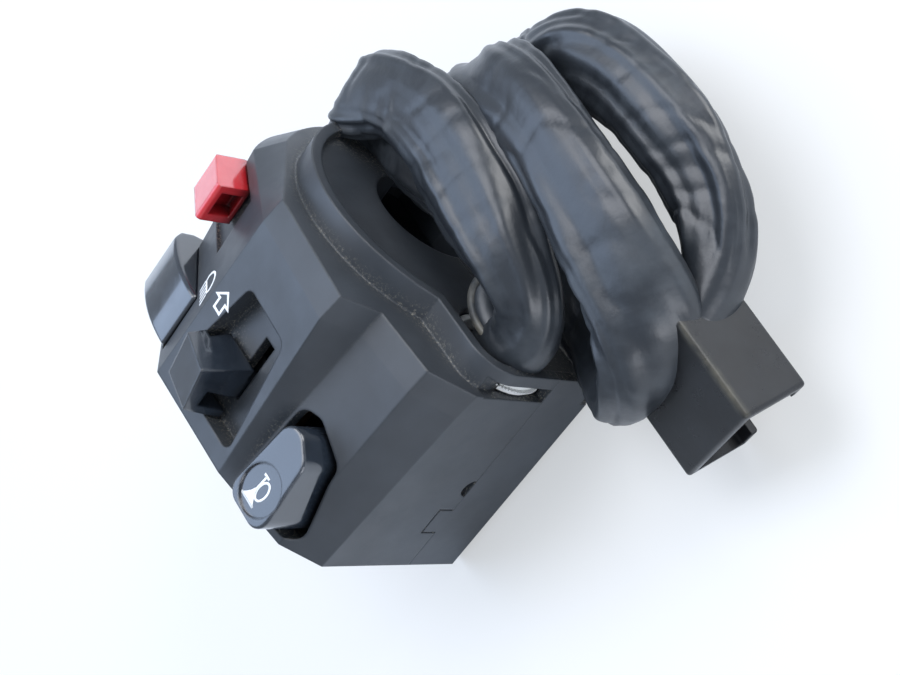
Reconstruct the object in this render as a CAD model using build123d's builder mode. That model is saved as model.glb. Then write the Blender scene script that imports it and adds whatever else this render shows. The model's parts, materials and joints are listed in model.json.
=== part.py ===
from build123d import *
import os
from math import cos, radians, sin, sqrt

# Left-hand handlebar switch cluster, millimetres. The origin is on the handlebar's axis, at the inner
# face of the web behind the mouth. X runs along the bar towards the middle of the bike, Y is up on the
# bike and Z is towards the rider. The seam between the two half casings is the plane Z = 0.
os.makedirs("parts", exist_ok=True)

# Handlebar and the casing's stations along it
bar_radius = 11.1
casing_length = 45.7
grip_end = -casing_length
shoulder_x = -8.7
step_x = -3.4
lip_length = 5.3
web_wall = 2.4
wall = 2.2
overrun = 30.0
gap = 0.3

# Outline of the casing round the bar: drops below the axis (Y) and heights towards the rider (Z)
bottom_drop = 44.0
chin_drop = 38.8
ledge_drop = 25.2
brow_drop = 22.2
crown_rise = 2.5
facet_angle = 43.5
rear_angle = 20.0
back_depth = 14.5
back_edge = 2.5

# The same outline's heights at the grip end, at the shoulder and at the step behind the lip
grip_foot, grip_chin, grip_ledge = 21.9, 28.9, 32.3
grip_brow, grip_crown, grip_radius = 33.0, 33.4, 30.0
shoulder_foot, shoulder_chin, shoulder_ledge = 18.2, 26.2, 27.8
shoulder_brow, shoulder_crown, shoulder_radius = 35.6, 33.3, 33.0
step_foot, step_chin, step_ledge = 17.2, 25.5, 27.0
step_brow, step_crown, step_radius = 34.6, 32.4, 28.9

# Lip round the mouth, smaller than the casing except along the flat bottom
lip_radius = 28.3
lip_centre_drop = 4.0
lip_shelf = 17.8
lip_corner = 7.0
lip_back_depth = 12.8
lip_rear_angle = 14.0
lip_shelf_drop = 26.0

tunnel_wall = 1.8
edge_round = 0.8

# Bosses and screws that hold the two half casings together
screw_places = ((grip_end + 11.7, 20.0), (grip_end + 21.7, -20.0))
screw_radius = 2.0
screw_clearance = 0.25
screw_head_radius = 3.7
screw_head_height = 2.4
screw_head_seat = 3.4
screw_reach = 9.0
boss_radius = 4.0
boss_height = 11.5
rear_boss_radius = 5.6
rib_thickness = 1.8

# Seam details on the flat bottom
notch_x = grip_end + 20.2
notch_radius = 2.0
latch_x = grip_end + 11.7
latch_width = 5.6
latch_height = 3.4
tie_slot_start, tie_slot_end, tie_slot_height = -3.7, -0.6, 15.5

# Hazard slider on the sloping upper facet
hazard_x = (grip_end + shoulder_x) / 2 + 10.8
hazard_length = 8.0
hazard_low, hazard_high = 16.0, 25.8
hazard_height = 8.3
hazard_wall = 1.5
hazard_hollow = 3.6
hazard_travel = 3.0
pocket_depth = 1.4
pocket_margin = 0.8
pocket_low = 11.8
hazard_stem_y = 21.6
hazard_stem_length, hazard_stem_width = 3.0, 3.4
hazard_carriage_length, hazard_carriage_width, hazard_carriage_height = 7.0, 6.0, 2.6
hazard_base_z = 10.6
hazard_base_width, base_thickness = 8.4, 2.2
hazard_base_start, hazard_base_end = hazard_x - 7.6, shoulder_x - 0.1
hazard_base_length = hazard_base_end - hazard_base_start
hazard_base_x = (hazard_base_start + hazard_base_end) / 2

# Turn signal slider in its recess
recess_floor = 29.5
recess_near_top, recess_near_low = -4.4, -18.5
recess_far_top, recess_far_low = 0.6, -21.4
recess_near_x, recess_far_x = grip_end + 27.5, grip_end + 4.1
recess_corner = 2.0
turn_x = grip_end + 11.7
turn_left, turn_right = grip_end + 4.5, grip_end + 16.3
turn_right_top = grip_end + 13.7
turn_low, turn_high = -13.2, -2.2
turn_top = 39.7
turn_top_y = -11.0
turn_slope_x, turn_slope_y = 0.188, -0.2
turn_wall = 1.5
turn_hollow_height = 5.6
turn_travel = 7.5
cancel_travel = 0.6
turn_step_z, turn_step_y = 34.4, -3.9
turn_knob_foot = 30.4
turn_stem_foot = 23.6
turn_stem_y = -11.8
turn_stem_length, turn_stem_width = 4.4, 2.4
turn_hollow_high = -5.6
turn_carriage_length, turn_carriage_width, turn_carriage_height = 10.2, 9.0, 7.2
turn_base_z = 16.4
turn_base_length, turn_base_width = 25.6, 13.0
turn_base_x, turn_base_y = grip_end + 15.5, -12.0

# Horn button and its recess; the two outlines are measured from the grip end
horn_x, horn_y = grip_end + 10.5, -33.4
horn_length, horn_width = 17.6, 11.0
horn_top = 36.0
horn_skirt_z = 23.4
horn_wall = 1.4
horn_dish_x = grip_end + 7.5
horn_dish_radius = 4.75
horn_dish_depth = 0.45
horn_travel = 2.0
horn_plan = ((2.1, -38.9), (2.1, -27.9), (19.8, -28.3), (19.8, -32.5), (17.2, -36.9), (5.7, -38.9))
horn_hole = ((1.4, -40.3), (1.4, -25.8), (20.5, -25.8), (21.7, -30.0), (18.3, -38.2), (4.7, -40.3))
horn_corner, horn_hole_corner = 3.0, 2.6
horn_top_slope = -0.14
horn_edge = 0.5
horn_base_z = 14.4
horn_base_length, horn_base_width = 15.4, 7.6

# Dip switch paddle at the grip end, hinged along the bar
paddle_start, paddle_end = grip_end + 1.4, grip_end + 13.8
paddle_gap = 0.35
paddle_crest = (17.6, 29.0)
paddle_pin_y, paddle_pin_z = 12.2, 24.6
paddle_pin_radius = 1.0
paddle_bore_clearance = 0.06
paddle_eye_radius = 2.3
paddle_x = (paddle_start + paddle_end) / 2
pin_hole_start, pin_hole_end = grip_end + 0.5, grip_end + 16.0
dip_spring_y, dip_spring_z = 20.0, 16.2
dip_spring_radius = 2.0
dip_spring_top = 24.0
nib_y, nib_z, nib_top = 14.6, 15.0, 23.0
nib_length, nib_width, nib_sweep = 2.0, 1.6, 1.5
dip_base_z, dip_base_thickness = 11.5, 1.5
dip_base_x, dip_base_y = grip_end + 8.9, 17.4
dip_base_length, dip_base_width = 12.4, 7.4
leaf_thickness = 0.4
leaf_width, leaf_height = 3.0, 3.4
leaf_start, leaf_end = 11.7, 18.0

# Harness, its tie and its connector
sleeve_radius = 7.5
harness_y, harness_z = -34.2, 6.2
tie_clearance = 0.15
tie_thickness = 1.1
tie_width = 2.2
tie_x = -3.4
exit_hole_radius = 9.0
sleeve_start = -9.0
coil_start = 4.8
plug_origin = (24.45, -56.5, 1.35)
plug_axis = (-0.1622, -0.9569, -0.2411)
plug_up = (-0.5081, -0.1285, 0.8516)
plug_length, plug_width, plug_height = 19.0, 23.0, 13.4
plug_wall = 1.5
plug_mouth_depth = 11.0
tail_offset = -6.4
tail_radius = 5.0
tail_length = 6.5
terminal_rows, terminal_columns = 2, 4
terminal_pitch = 4.6
terminal_radius = 0.75
terminal_length = 8.0
latch_tab_length, latch_tab_width, latch_tab_height = 8.0, 5.0, 1.6
latch_tab_offset = -6.0
latch_tab_proud = 1.6
coil_stations = ((4.8, -5.0, 2.5, 36.0, 16.8), (30.0, -18.5, 3.0, 36.5, 17.3),
                 (56.0, -26.0, 1.5, 28.0, 15.0))
coil_wall = 7.0
coil_corner_angle = 12
seat_rib_places = (grip_end + 12.7, -14.0)
seat_rib_reach = 4.0

# Small parts of the contact sets
contact_thickness = 0.35
contact_clearance = 0.25
ball_clearance = 0.05
wire_radius = 0.25
ring_sides = 12
hazard_ball_radius = 1.0
hazard_ball_x = (grip_end + shoulder_x) / 2 + 9.0
hazard_spring_top = 15.5
turn_ball_radius = 1.1
turn_ball_x, turn_ball_y = grip_end + 12.85, -14.4
turn_spring_top = 24.4
cancel_spring_foot, cancel_spring_radius = 20.4, 1.0
horn_spring_radius = 2.3
horn_spring_top = 27.0
horn_ceiling = 31.8
horn_leg_width, horn_leg_foot = 5.5, 13.0
horn_hook = 1.3
horn_bridge_width = 7.2
horn_rivet_spread = 5.4
horn_rivet_radius = 1.0
horn_rivet_top = 20.5
rivet_clearance = 0.05


def casing_outline(foot, chin, ledge, brow, crown, radius, inset=0):
    """Closed outline across the bar, rider's side first, then the half against the front of the bike."""
    top_end = (radius * cos(radians(facet_angle)), radius * sin(radians(facet_angle)))
    rear_end = (radius * cos(radians(rear_angle)), -radius * sin(radians(rear_angle)))
    back_corner = (rear_end[0] - (back_depth + rear_end[1]), -back_depth)
    with BuildSketch() as section:
        with BuildLine():
            Polyline((-bottom_drop, -back_depth + back_edge), (-bottom_drop, foot), (-chin_drop, chin),
                     (-ledge_drop, ledge), (-brow_drop, brow), (crown_rise, crown), top_end)
            ThreePointArc(top_end, (radius, 0), rear_end)
            Polyline(rear_end, back_corner, (-bottom_drop + back_edge, -back_depth),
                     (-bottom_drop, -back_depth + back_edge))
        make_face()
        offset(amount=-inset, kind=Kind.INTERSECTION, mode=Mode.REPLACE)
    return section.sketch


def lip_outline(inset=0):
    """Closed outline of the lip: an arc about a point below the bar, a shelf and a rounded corner."""
    shelf_rise = lip_shelf + lip_corner / 2
    shelf_end = (-lip_centre_drop - sqrt(lip_radius**2 - shelf_rise**2), shelf_rise)
    rear_end = (lip_radius * cos(radians(lip_rear_angle)) - lip_centre_drop,
                -lip_radius * sin(radians(lip_rear_angle)))
    back_corner = (rear_end[0] - (lip_back_depth + rear_end[1]), -lip_back_depth)
    corner_start = (-bottom_drop, lip_shelf - lip_corner)
    corner_end = (-bottom_drop + lip_corner, lip_shelf)
    with BuildSketch() as section:
        with BuildLine():
            Line((-bottom_drop, -lip_back_depth + back_edge), corner_start)
            RadiusArc(corner_start, corner_end, lip_corner)
            Polyline(corner_end, (-lip_shelf_drop, lip_shelf), shelf_end)
            ThreePointArc(shelf_end, (-lip_centre_drop, lip_radius), rear_end)
            Polyline(rear_end, back_corner, (-bottom_drop + back_edge, -lip_back_depth),
                     (-bottom_drop, -lip_back_depth + back_edge))
        make_face()
        offset(amount=-inset, kind=Kind.INTERSECTION, mode=Mode.REPLACE)
    return section.sketch


grip_values = (grip_foot, grip_chin, grip_ledge, grip_brow, grip_crown, grip_radius)
shoulder_values = (shoulder_foot, shoulder_chin, shoulder_ledge, shoulder_brow, shoulder_crown,
                   shoulder_radius)
step_values = (step_foot, step_chin, step_ledge, step_brow, step_crown, step_radius)

# Outer form of the whole casing
with BuildPart() as outer:
    with BuildSketch(Plane.YZ.offset(-casing_length)):
        add(casing_outline(*grip_values))
    with BuildSketch(Plane.YZ.offset(shoulder_x)):
        add(casing_outline(*shoulder_values))
    loft(ruled=True)
    with BuildSketch(Plane.YZ.offset(shoulder_x)):
        add(casing_outline(*shoulder_values))
    with BuildSketch(Plane.YZ.offset(step_x)):
        add(casing_outline(*step_values))
    loft(ruled=True)
    with BuildSketch(Plane.YZ.offset(step_x)):
        add(lip_outline())
    extrude(amount=lip_length)

# Hollow inside both half casings
with BuildPart() as cavity:
    with BuildSketch(Plane.YZ.offset(-casing_length + web_wall)):
        add(casing_outline(*grip_values, inset=wall))
    with BuildSketch(Plane.YZ.offset(shoulder_x)):
        add(casing_outline(*shoulder_values, inset=wall))
    loft(ruled=True)
    with BuildSketch(Plane.YZ.offset(shoulder_x)):
        add(lip_outline(inset=wall))
    extrude(amount=-shoulder_x - web_wall)


def facet_height(x, y):
    """Height of the sloping upper facet over a place (x, y)."""
    share = (x + casing_length) / (shoulder_x + casing_length)
    crown = grip_crown + share * (shoulder_crown - grip_crown)
    radius = grip_radius + share * (shoulder_radius - grip_radius)
    slope = (radius * sin(radians(facet_angle)) - crown) / (radius * cos(radians(facet_angle)) - crown_rise)
    return crown + slope * (y - crown_rise)


def across(points, start, end):
    """Solid with an outline of (Y, Z) points, from one station along the bar to another."""
    with BuildPart() as piece:
        with BuildSketch(Plane.YZ.offset(start)):
            with BuildLine():
                Polyline(*points, close=True)
            make_face()
        extrude(amount=end - start)
    return piece.part


def block(x, y, z, length, width, height):
    """Box centred on (x, y) that stands on the height z."""
    with BuildPart() as piece:
        with BuildSketch(Plane.XY.offset(z)):
            with Locations((x, y)):
                Rectangle(length, width)
        extrude(amount=height)
    return piece.part


def rounded_plan(points, corner, inset=0):
    """Closed outline seen by the rider, with its corners rounded."""
    with BuildSketch() as section:
        with BuildLine():
            Polyline(*[(grip_end + x, y) for x, y in points], close=True)
        make_face()
        fillet(section.vertices(), corner)
        offset(amount=-inset, mode=Mode.REPLACE)
    return section.sketch


# Shared shapes of the recesses: the recess itself and the material behind its floor
hazard_pocket_start = hazard_x - hazard_length / 2 - hazard_travel - pocket_margin
hazard_pocket_end = hazard_x + hazard_length / 2 + pocket_margin


def hazard_floor(y, drop=0):
    """Floor of the hazard pocket, parallel to the facet."""
    return facet_height(hazard_x, y) - pocket_depth - drop


def pocket_outline(low, drop):
    high = overrun
    return ((low, hazard_floor(low, drop)), (high, hazard_floor(high, drop)), (high, overrun * 2),
            (low, overrun * 2))


def recess_outline(grow=0):
    """The turn signal recess seen from the rider, wider at the grip end."""
    with BuildSketch() as section:
        with BuildLine():
            Polyline((recess_far_x, recess_far_top), (recess_far_x, recess_far_low),
                     (recess_near_x, recess_near_low), (recess_near_x, recess_near_top), close=True)
        make_face()
        fillet(section.vertices(), recess_corner)
        offset(amount=grow, mode=Mode.REPLACE)
    return section.sketch


paddle_floor = ((7.4, 24.4), (10.6, 20.4), (18.0, 17.8), (31.0, 12.2))


def paddle_pocket(drop):
    points = [(y, z - drop) for y, z in paddle_floor]
    points[0] = (paddle_floor[0][0] - drop / 2, paddle_floor[0][1] - drop)
    return (*points, (paddle_floor[-1][0], overrun * 2), (points[0][0], overrun * 2))


# Material behind the recesses and the ribs, trimmed to the casing's outer form
with BuildPart() as backing:
    with BuildSketch(Plane.XY.offset(recess_floor - wall)):
        add(recess_outline(wall))
    extrude(amount=overrun)
    add(across(pocket_outline(pocket_low - wall, wall), hazard_pocket_start - wall,
               hazard_pocket_end + wall))
    add(across(paddle_pocket(wall), -casing_length, paddle_end + paddle_gap + wall))
    for end in (-1, 1):
        add(block(hazard_base_x + end * (hazard_base_length - rib_thickness) / 2, hazard_stem_y, 0,
                  rib_thickness, overrun, hazard_base_z))
    for end in (-1, 1):
        add(block(turn_base_x + end * (turn_base_length - rib_thickness) / 2, turn_base_y, 0,
                  rib_thickness, turn_base_width, turn_base_z))
    for end in (-1, 1):
        add(block(horn_x + end * (horn_base_length - rib_thickness) / 2, horn_y - wall, 0,
                  rib_thickness, horn_width + 4 * wall, horn_base_z))
    for x, y in screw_places:
        with Locations((x, y, 0)):
            Cylinder(boss_radius, boss_height, align=(Align.CENTER, Align.CENTER, Align.MIN))
        add(block(x, y - y / abs(y) * boss_radius, 0, rib_thickness, 2 * boss_radius, boss_height / 2))
    with BuildSketch(Plane.YZ.offset(-casing_length)):
        Circle(bar_radius + tunnel_wall)
    extrude(amount=casing_length)
    add(outer.part, mode=Mode.INTERSECT)
    split(bisect_by=Plane.XY, keep=Keep.TOP)

# Rider's half of the casing
with BuildPart() as front_casing:
    add(outer.part)
    add(cavity.part, mode=Mode.SUBTRACT)
    split(bisect_by=Plane.XY, keep=Keep.TOP)
    add(backing.part)
    with BuildSketch(Plane.YZ.offset(-casing_length)):
        Circle(bar_radius)
    extrude(amount=casing_length, mode=Mode.SUBTRACT)
    with BuildSketch(Plane.YZ):
        add(lip_outline(wall))
    extrude(amount=lip_length, mode=Mode.SUBTRACT)
    with BuildSketch(Plane.YZ.offset(-web_wall)):
        with Locations((harness_y, harness_z)):
            Circle(exit_hole_radius)
        add(lip_outline(wall), mode=Mode.INTERSECT)
    extrude(amount=web_wall, mode=Mode.SUBTRACT)
    add(block((tie_slot_start + tie_slot_end) / 2, -bottom_drop, 0, tie_slot_end - tie_slot_start,
              2 * wall, tie_slot_height), mode=Mode.SUBTRACT)
    with Locations((notch_x, -bottom_drop, 0)):
        Cylinder(notch_radius, 2 * wall + gap, rotation=(90, 0, 0), mode=Mode.SUBTRACT)
    add(block(latch_x, -bottom_drop, 0, latch_width + 2 * gap, 2 * wall + gap, latch_height + gap),
        mode=Mode.SUBTRACT)
    for x, y in screw_places:
        with Locations((x, y, 0)):
            Cylinder(screw_radius + gap / 4, screw_reach + 1.0 * gap, mode=Mode.SUBTRACT,
                     align=(Align.CENTER, Align.CENTER, Align.MIN))
    # Hazard pocket and the slot for its stem
    add(across(pocket_outline(pocket_low, 0), hazard_pocket_start, hazard_pocket_end),
        mode=Mode.SUBTRACT)
    add(block(hazard_x - hazard_travel / 2, hazard_stem_y, hazard_base_z + base_thickness,
              hazard_stem_length + hazard_travel + 2 * gap, hazard_stem_width + 2 * gap, overrun),
        mode=Mode.SUBTRACT)
    # Turn signal recess and its slot
    with BuildSketch(Plane.XY.offset(recess_floor)):
        add(recess_outline())
    extrude(amount=overrun, mode=Mode.SUBTRACT)
    add(block(turn_x + turn_travel / 2, turn_stem_y, turn_base_z + base_thickness + gap,
              turn_stem_length + turn_travel + 2 * gap, turn_stem_width + 2 * gap, overrun),
        mode=Mode.SUBTRACT)
    # Horn button's opening
    with BuildSketch(Plane.XY.offset(horn_base_z + base_thickness)):
        add(rounded_plan(horn_hole, horn_hole_corner))
    extrude(amount=overrun, mode=Mode.SUBTRACT)
    # Paddle pocket, with the pin's seats in its two side walls
    add(across(paddle_pocket(0), paddle_start - paddle_gap, paddle_end + paddle_gap),
        mode=Mode.SUBTRACT)
    with BuildSketch(Plane.YZ.offset(pin_hole_start)):
        with Locations((paddle_pin_y, paddle_pin_z)):
            Circle(paddle_pin_radius + gap / 10)
    extrude(amount=pin_hole_end - pin_hole_start, mode=Mode.SUBTRACT)
    with Locations((paddle_x, dip_spring_y, dip_spring_z)):
        Cylinder(dip_spring_radius + gap, overrun, mode=Mode.SUBTRACT,
                 align=(Align.CENTER, Align.CENTER, Align.MIN))
    add(block(paddle_x, nib_y - nib_sweep / 2, dip_base_z + dip_base_thickness, nib_length + 2 * gap,
              nib_width + nib_sweep + 2 * gap, overrun), mode=Mode.SUBTRACT)


def spring(x, y, foot, top, radius, turns):
    """Compression spring of the wire's thickness: a ring for each turn, joined by short risers."""
    pitch = (top - foot - 2 * wire_radius) / turns
    with BuildPart() as coil:
        for turn in range(turns + 1):
            with BuildSketch(Plane.XY.offset(foot + turn * pitch)):
                with Locations((x, y)):
                    RegularPolygon(radius, ring_sides)
                    RegularPolygon(radius - 2 * wire_radius, ring_sides, mode=Mode.SUBTRACT)
            extrude(amount=2 * wire_radius)
        for turn in range(turns):
            side = -1 if turn % 2 else 1
            add(block(x + side * (radius - wire_radius) * cos(radians(180 / ring_sides)), y,
                      foot + turn * pitch, 2 * wire_radius * cos(radians(180 / ring_sides)),
                      2 * wire_radius, pitch + wire_radius))
    return coil.part


# Half casing against the front of the bike
with BuildPart() as rear_casing:
    add(outer.part)
    add(cavity.part, mode=Mode.SUBTRACT)
    split(bisect_by=Plane.XY, keep=Keep.BOTTOM)
    for x in seat_rib_places:
        add(block(x, 0, -back_depth, rib_thickness, 2 * (bar_radius + seat_rib_reach), back_depth))
    for x, y in screw_places:
        with Locations((x, y, -back_depth)):
            Cylinder(rear_boss_radius, back_depth, align=(Align.CENTER, Align.CENTER, Align.MIN))
    add(outer.part, mode=Mode.INTERSECT)
    with BuildSketch(Plane.YZ.offset(-casing_length)):
        Circle(bar_radius)
    extrude(amount=casing_length, mode=Mode.SUBTRACT)
    with BuildSketch(Plane.YZ):
        add(lip_outline(wall))
    extrude(amount=lip_length, mode=Mode.SUBTRACT)
    with BuildSketch(Plane.YZ.offset(-web_wall)):
        with Locations((harness_y, harness_z)):
            Circle(exit_hole_radius)
        add(lip_outline(wall), mode=Mode.INTERSECT)
    extrude(amount=web_wall, mode=Mode.SUBTRACT)
    for x, y in screw_places:
        with Locations((x, y, -back_depth)):
            Cylinder(screw_head_radius + gap, screw_head_seat, mode=Mode.SUBTRACT,
                     align=(Align.CENTER, Align.CENTER, Align.MIN))
            Cylinder(screw_radius + gap / 4, back_depth, mode=Mode.SUBTRACT,
                     align=(Align.CENTER, Align.CENTER, Align.MIN))
    # Snap that reaches up into the window in the other half
    add(block(latch_x, -bottom_drop + wall / 2, 0, latch_width, wall, latch_height))

# Cross-head screws
with BuildPart() as casing_screws:
    for x, y in screw_places:
        with Locations((x, y, -back_depth + screw_head_seat)):
            Cylinder(screw_radius, back_depth - screw_head_seat + screw_reach,
                     align=(Align.CENTER, Align.CENTER, Align.MIN))
        with Locations((x, y, -back_depth + screw_head_seat - screw_head_height)):
            Cylinder(screw_head_radius, screw_head_height, align=(Align.CENTER, Align.CENTER, Align.MIN))
            for turn in (0, 90):
                Box(screw_radius * 2, screw_radius / 2.5, screw_head_height, rotation=(0, 0, turn),
                    align=(Align.CENTER, Align.CENTER, Align.CENTER), mode=Mode.SUBTRACT)

# Hazard slider: knob, slide block, contact and board
hazard_foot = [(y, hazard_floor(y) + gap) for y in (hazard_low, hazard_high)]
hazard_roof = [(y, z + hazard_height) for y, z in reversed(hazard_foot)]
hazard_top = hazard_base_z + base_thickness
hazard_slide_z = hazard_top + contact_clearance + contact_thickness
with BuildPart() as hazard_knob:
    add(across((*hazard_foot, *hazard_roof), hazard_x - hazard_length / 2, hazard_x + hazard_length / 2))
    fillet(hazard_knob.faces().sort_by(SortBy.AREA)[-2:].edges().filter_by(Axis.X), edge_round)
    hollow_end = hazard_low + hazard_hollow
    add(across(((hazard_low - gap, hazard_floor(hazard_low) + gap + hazard_wall),
                (hollow_end, hazard_floor(hollow_end) + gap + hazard_wall),
                (hollow_end, hazard_floor(hollow_end) + hazard_height - hazard_wall),
                (hazard_low - gap, hazard_floor(hazard_low) + hazard_height - hazard_wall)),
               hazard_x - hazard_length / 2 + hazard_wall, hazard_x + hazard_length / 2 - hazard_wall),
        mode=Mode.SUBTRACT)
    add(block(hazard_x, hazard_stem_y, hazard_slide_z + hazard_carriage_height, hazard_stem_length,
              hazard_stem_width, hazard_height))

with BuildPart() as hazard_carriage:
    add(block(hazard_x, hazard_stem_y, hazard_slide_z, hazard_carriage_length, hazard_carriage_width,
              hazard_carriage_height))
    with Locations((hazard_ball_x, hazard_stem_y, hazard_top)):
        Cylinder(hazard_ball_radius + ball_clearance, hazard_spring_top - hazard_top,
                 align=(Align.CENTER, Align.CENTER, Align.MIN), mode=Mode.SUBTRACT)

with BuildPart() as hazard_contact:
    add(block(hazard_x + hazard_carriage_length / 4, hazard_stem_y, hazard_top + contact_clearance,
              hazard_carriage_length / 3, hazard_carriage_width - 2 * gap, contact_thickness))

with BuildPart() as hazard_detent_ball:
    with Locations((hazard_ball_x, hazard_stem_y, hazard_top + hazard_ball_radius + ball_clearance)):
        Sphere(hazard_ball_radius)

hazard_detent_spring = spring(hazard_ball_x, hazard_stem_y,
                              hazard_top + 2 * hazard_ball_radius + ball_clearance, hazard_spring_top,
                              hazard_ball_radius - ball_clearance, 3)

with BuildPart() as hazard_base:
    add(block(hazard_base_x, hazard_stem_y, hazard_base_z, hazard_base_length, hazard_base_width,
              base_thickness))

# Turn signal slider: knob with a sloping top, slide block, contact, springs and board
turn_board_top = turn_base_z + base_thickness
turn_slide_z = turn_board_top + contact_clearance + contact_thickness
with BuildPart() as turn_knob:
    add(across(((turn_low, turn_knob_foot), (turn_top_y, turn_top + turn_wall), (turn_high, turn_top),
                (turn_high, turn_step_z), (turn_step_y, turn_step_z), (turn_step_y, turn_knob_foot)),
               turn_left, turn_right))
    split(bisect_by=Plane((turn_right_top, turn_top_y, turn_top), z_dir=(-turn_slope_x, -turn_slope_y, 1)),
          keep=Keep.BOTTOM)
    split(bisect_by=Plane((turn_right, turn_low, turn_knob_foot),
                          z_dir=(turn_top - turn_knob_foot, 0, turn_right - turn_right_top)),
          keep=Keep.BOTTOM)
    add(block((turn_left + turn_right_top) / 2, turn_low, turn_knob_foot,
              turn_right_top - turn_left - 2 * turn_wall, 2 * (turn_hollow_high - turn_low),
              turn_hollow_height), mode=Mode.SUBTRACT)
    add(block(turn_x, turn_stem_y, turn_stem_foot, turn_stem_length, turn_stem_width,
              turn_knob_foot + turn_hollow_height - turn_stem_foot + gap))
    split(bisect_by=Plane((turn_x, turn_low, turn_knob_foot), z_dir=(0, turn_knob_foot - turn_top - turn_wall,
                                                                     turn_top_y - turn_low)), keep=Keep.BOTTOM)

with BuildPart() as turn_carriage:
    add(block(turn_x, turn_base_y, turn_slide_z, turn_carriage_length, turn_carriage_width,
              turn_carriage_height))
    add(block(turn_x, turn_stem_y, cancel_spring_foot, turn_stem_length + gap / 2,
              turn_stem_width + gap / 2, turn_carriage_height), mode=Mode.SUBTRACT)
    with Locations((turn_ball_x, turn_ball_y, turn_board_top)):
        Cylinder(turn_ball_radius + ball_clearance, turn_spring_top - turn_board_top,
                 align=(Align.CENTER, Align.CENTER, Align.MIN), mode=Mode.SUBTRACT)

with BuildPart() as turn_contact:
    add(block(turn_x, turn_base_y + turn_carriage_width / 4 + gap, turn_board_top + contact_clearance,
              turn_carriage_length - 2 * turn_wall, turn_carriage_width / 4, contact_thickness))

with BuildPart() as turn_detent_ball:
    with Locations((turn_ball_x, turn_ball_y, turn_board_top + turn_ball_radius + ball_clearance)):
        Sphere(turn_ball_radius)

turn_detent_spring = spring(turn_ball_x, turn_ball_y, turn_board_top + 2 * turn_ball_radius + ball_clearance,
                            turn_spring_top, turn_ball_radius - ball_clearance, 4)
turn_cancel_spring = spring(turn_x, turn_stem_y, cancel_spring_foot, turn_stem_foot,
                            cancel_spring_radius, 4)

with BuildPart() as turn_base:
    add(block(turn_base_x, turn_base_y, turn_base_z, turn_base_length, turn_base_width, base_thickness))

# Horn button: dished top, skirt, spring post and two hooked legs round its board
horn_board_top = horn_base_z + base_thickness
horn_side = horn_width / 2 - horn_wall / 2
with BuildPart() as horn_button:
    with BuildSketch(Plane.XY.offset(horn_skirt_z)):
        add(rounded_plan(horn_plan, horn_corner))
    extrude(amount=overrun)
    split(bisect_by=Plane((grip_end + horn_plan[0][0], horn_y, horn_top), z_dir=(-horn_top_slope, 0, 1)),
          keep=Keep.BOTTOM)
    fillet(horn_button.faces().sort_by(Axis.Z)[-1].edges(), horn_edge)
    with BuildSketch(Plane.XY.offset(horn_skirt_z)):
        add(rounded_plan(horn_plan, horn_corner, horn_wall))
    extrude(amount=horn_ceiling - horn_skirt_z, mode=Mode.SUBTRACT)
    dish_top = horn_top + horn_top_slope * (horn_dish_x - grip_end - horn_plan[0][0])
    with BuildSketch(Plane((horn_dish_x, horn_y, dish_top - horn_dish_depth), z_dir=(-horn_top_slope, 0, 1))):
        Circle(horn_dish_radius)
    extrude(amount=2 * horn_dish_depth, mode=Mode.SUBTRACT)
    with Locations((horn_x, horn_y, horn_spring_top)):
        Cylinder(horn_spring_radius + gap, horn_ceiling - horn_spring_top,
                 align=(Align.CENTER, Align.CENTER, Align.MIN))
    with Locations((horn_x, horn_y, horn_board_top + horn_travel + gap)):
        Cylinder(horn_spring_radius / 2, horn_ceiling - horn_board_top - horn_travel - gap,
                 align=(Align.CENTER, Align.CENTER, Align.MIN))
    for side in (-1, 1):
        add(block(horn_x, horn_y + side * horn_side, horn_leg_foot, horn_leg_width, horn_wall,
                  horn_skirt_z - horn_leg_foot + horn_wall))
        add(block(horn_x, horn_y + side * (horn_side - horn_hook), horn_leg_foot, horn_leg_width,
                  2 * horn_hook, horn_base_z - gap - horn_leg_foot))

horn_spring = spring(horn_x, horn_y, horn_board_top, horn_spring_top, horn_spring_radius, 5)

with BuildPart() as horn_contact_bridge:
    with BuildSketch(Plane.XY.offset(horn_skirt_z - contact_thickness)):
        with Locations((horn_x, horn_y)):
            Rectangle(horn_length - 2 * horn_wall + gap, horn_bridge_width)
            Circle(horn_spring_radius + 2 * gap, mode=Mode.SUBTRACT)
    extrude(amount=contact_thickness)

with BuildPart() as horn_fixed_contacts:
    for side in (-1, 1):
        with Locations((horn_x + side * horn_rivet_spread, horn_y, horn_base_z)):
            Cylinder(horn_rivet_radius, horn_rivet_top - horn_base_z,
                     align=(Align.CENTER, Align.CENTER, Align.MIN))

with BuildPart() as horn_base:
    add(block(horn_x, horn_y, horn_base_z, horn_base_length, horn_base_width, base_thickness))
    for side in (-1, 1):
        with Locations((horn_x + side * horn_rivet_spread, horn_y, horn_base_z)):
            Cylinder(horn_rivet_radius + rivet_clearance, base_thickness, mode=Mode.SUBTRACT,
                     align=(Align.CENTER, Align.CENTER, Align.MIN))

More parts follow.
